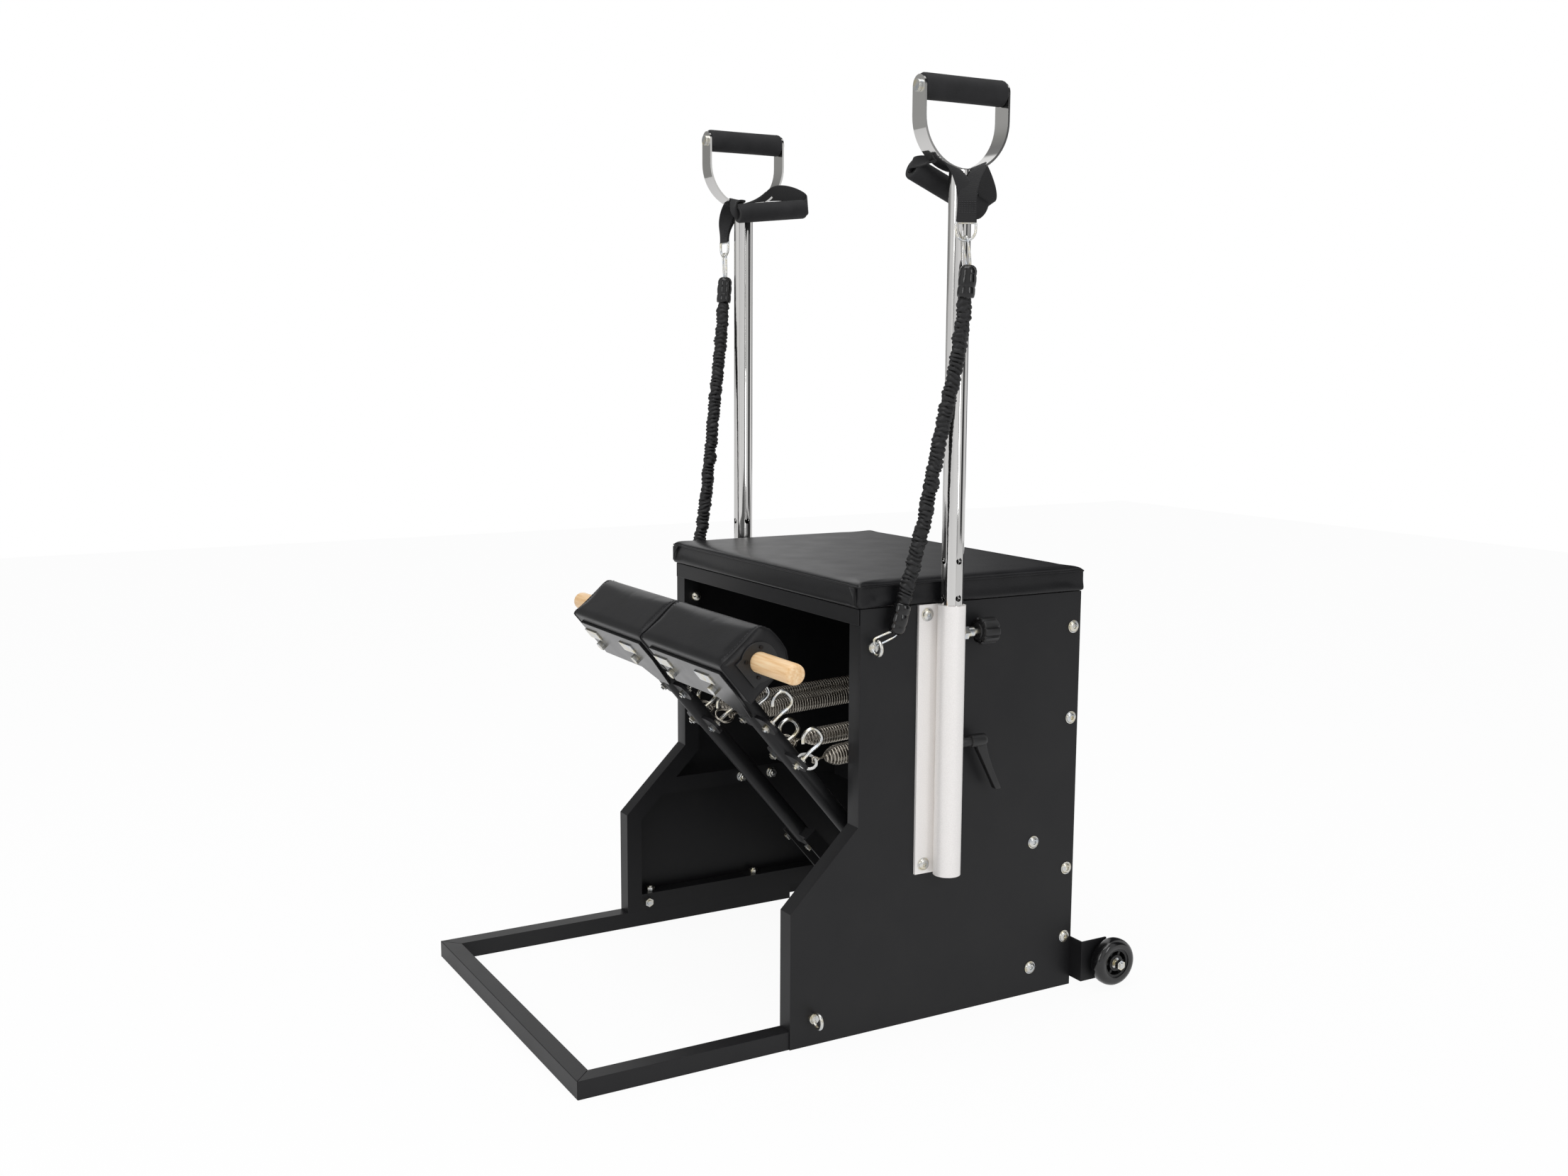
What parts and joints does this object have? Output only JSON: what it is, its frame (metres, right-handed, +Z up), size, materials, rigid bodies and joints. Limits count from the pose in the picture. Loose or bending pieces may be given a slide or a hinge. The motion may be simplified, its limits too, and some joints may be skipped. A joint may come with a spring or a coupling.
{
  "type": "pilates chair",
  "caption": "Exercise chair with a padded seat on folded steel side panels, sprung foot pedals, height-adjustable handle poles, elastic cords and transport wheels.",
  "frame": {"origin": "on the floor under the middle of the chair's overall box", "axes": "+X to the chair's right-hand side panel as drawn, -Y to the front where the pedals are, +Z up"},
  "size_m": [0.698, 0.862, 1.2747],
  "materials": {
    "powder_coat": "satin black powder coat",
    "leatherette": "fine-grained black leatherette",
    "plywood": "plain plywood",
    "zinc": "bright zinc plate",
    "nickel": "nickel-plated spring wire",
    "chrome": "polished chrome",
    "blasted_aluminium": "sandblasted aluminium",
    "grip_rubber": "matt black rubber",
    "beech": "lacquered pale wood",
    "black_plastic": "matt black plastic",
    "wheel_tread": "smooth black polyurethane",
    "cord_cover": "gathered black sleeve",
    "webbing": "black webbing with a foam grip"
  },
  "bodies": {
    "chassis": {"right_side_panel": "powder_coat", "left_side_panel": "powder_coat", "upper_back_panel": "powder_coat", "lower_back_panel": "powder_coat", "seat_tray": "powder_coat", "seat_board": "plywood", "seat_cushion": "leatherette", "cross_rails": "powder_coat", "pivot_shaft": "zinc", "spring_anchor": "powder_coat", "right_base_tube": "powder_coat", "left_base_tube": "powder_coat", "front_base_tube": "powder_coat", "base_bolts": "zinc", "frame_screws": "zinc", "frame_nuts": "zinc", "cord_eye_bolts": "zinc", "pole_sleeves": "blasted_aluminium", "lock_bushes": "zinc", "wheel_brackets": "powder_coat", "wheel_axles": "zinc", "lower_cord_fittings": "black_plastic", "right_cord": "cord_cover", "left_cord": "cord_cover", "right_outer_spring": "nickel", "right_inner_spring": "nickel", "left_outer_spring": "nickel", "left_inner_spring": "nickel"},
    "right_pedal": {"right_pedal_arm": "powder_coat", "right_pedal_plate": "powder_coat", "right_pedal_pad": "leatherette", "right_pedal_peg": "beech", "right_peg_rosette": "black_plastic", "right_spring_hooks": "zinc", "right_pedal_fasteners": "zinc"},
    "right_handle": {"right_pole": "chrome", "right_handle_grip": "grip_rubber", "right_handle_bolt": "zinc", "right_hand_strap": "webbing", "right_cord_fitting": "zinc"},
    "right_knob": {"right_lock_knob": "black_plastic"},
    "right_lever": {"right_clamp_lever": "black_plastic"},
    "right_wheel": {"right_wheel_tyre": "wheel_tread", "right_wheel_core": "black_plastic"},
    "left_pedal": {"left_pedal_arm": "powder_coat", "left_pedal_plate": "powder_coat", "left_pedal_pad": "leatherette", "left_pedal_peg": "beech", "left_peg_rosette": "black_plastic", "left_spring_hooks": "zinc", "left_pedal_fasteners": "zinc"},
    "left_handle": {"left_pole": "chrome", "left_handle_grip": "grip_rubber", "left_handle_bolt": "zinc", "left_hand_strap": "webbing", "left_cord_fitting": "zinc"},
    "left_knob": {"left_lock_knob": "black_plastic"},
    "left_lever": {"left_clamp_lever": "black_plastic"},
    "left_wheel": {"left_wheel_tyre": "wheel_tread", "left_wheel_core": "black_plastic"}
  },
  "joints": [
    {"name": "right_pedal_press", "type": "hinge", "parent": "chassis", "child": "right_pedal", "pos_m": [0.198, 0.166, 0.0815], "axis": [1, 0, 0], "range_deg": [0, 48], "stiffness_Nm_per_rad": 60, "springref_deg": -31.51, "deforming": ["right_outer_spring", "right_inner_spring"]},
    {"name": "right_pole_height", "type": "slide", "parent": "chassis", "child": "right_handle", "axis": [0, 0, 1], "range_m": [-0.1, 0.1], "deforming": ["right_cord"]},
    {"name": "right_lock_pull", "type": "slide", "parent": "chassis", "child": "right_knob", "axis": [0, 1, 0], "range_m": [-0.006, 0.002]},
    {"name": "right_lever_turn", "type": "hinge", "parent": "chassis", "child": "right_lever", "pos_m": [0.298, 0.148, 0.3965], "axis": [0, -1, 0], "range_deg": [0, 110]},
    {"name": "right_wheel_roll", "type": "hinge", "parent": "chassis", "child": "right_wheel", "pos_m": [0.317, 0.396, 0.0395], "axis": [1, 0, 0], "continuous": true},
    {"name": "left_pedal_press", "type": "hinge", "parent": "chassis", "child": "left_pedal", "pos_m": [-0.052, 0.166, 0.0815], "axis": [1, 0, 0], "range_deg": [0, 48], "stiffness_Nm_per_rad": 60, "springref_deg": -31.51, "deforming": ["left_outer_spring", "left_inner_spring"]},
    {"name": "left_pole_height", "type": "slide", "parent": "chassis", "child": "left_handle", "axis": [0, 0, 1], "range_m": [-0.1, 0.1], "deforming": ["left_cord"]},
    {"name": "left_lock_pull", "type": "slide", "parent": "chassis", "child": "left_knob", "axis": [0, 1, 0], "range_m": [-0.006, 0.002]},
    {"name": "left_lever_turn", "type": "hinge", "parent": "chassis", "child": "left_lever", "pos_m": [-0.298, 0.148, 0.3965], "axis": [0, 1, 0], "range_deg": [0, 110]},
    {"name": "left_wheel_roll", "type": "hinge", "parent": "chassis", "child": "left_wheel", "pos_m": [-0.317, 0.396, 0.0395], "axis": [1, 0, 0], "continuous": true}
  ]
}
